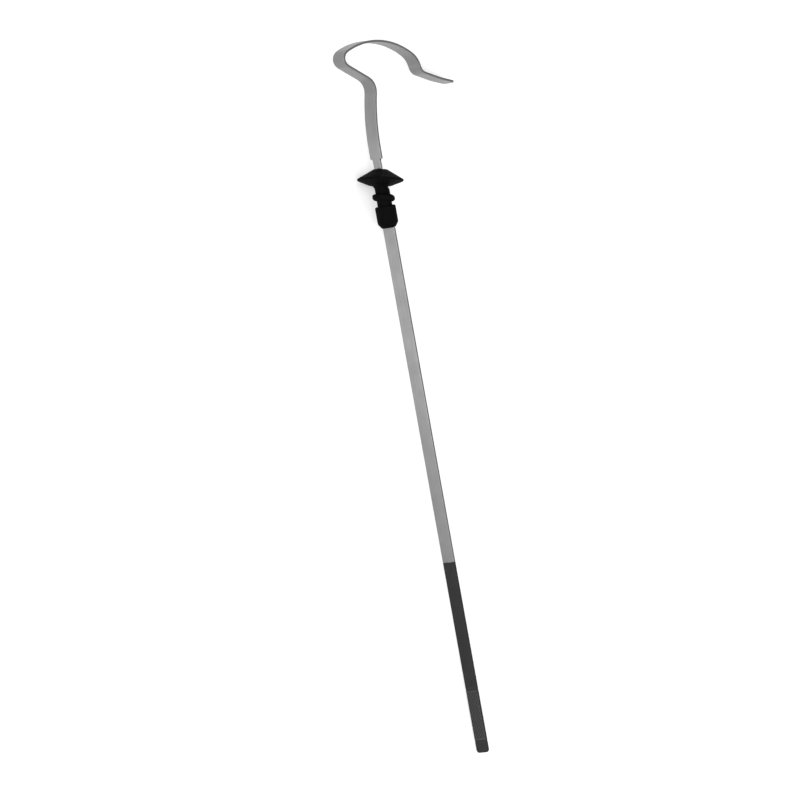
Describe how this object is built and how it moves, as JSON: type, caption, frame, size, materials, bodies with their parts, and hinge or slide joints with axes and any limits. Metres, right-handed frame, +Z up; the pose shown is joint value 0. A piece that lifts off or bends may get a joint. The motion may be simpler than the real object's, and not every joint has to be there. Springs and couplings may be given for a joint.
{
  "type": "engine oil dipstick",
  "caption": "Engine oil dipstick: flat plated steel strip bent into an open finger loop with a flared foot, blackened blade end with level marks, and a rubber tube stopper with a coned flange.",
  "frame": {"origin": "on the ground, under the middle of the box that holds the dipstick as it lies", "axes": "+Y along the strip from the blade's tip to the handle, +X to the loop's long side, +Z up from the ground; the strip lies on its tip, the flange's rim and the end of its foot, so it is pitched by about 1.5 degrees and rolled by about 8.8 degrees"},
  "size_m": [0.0601, 0.3034, 0.0196],
  "materials": {
    "plated_steel": "dull bright plating on the loop and rod, black oxide on the blade's lower end",
    "black_rubber": "moulded, smooth, slightly glossy"
  },
  "bodies": {
    "root": {"dipstick_strip": "plated_steel", "stopper": "black_rubber"}
  },
  "joints": []
}
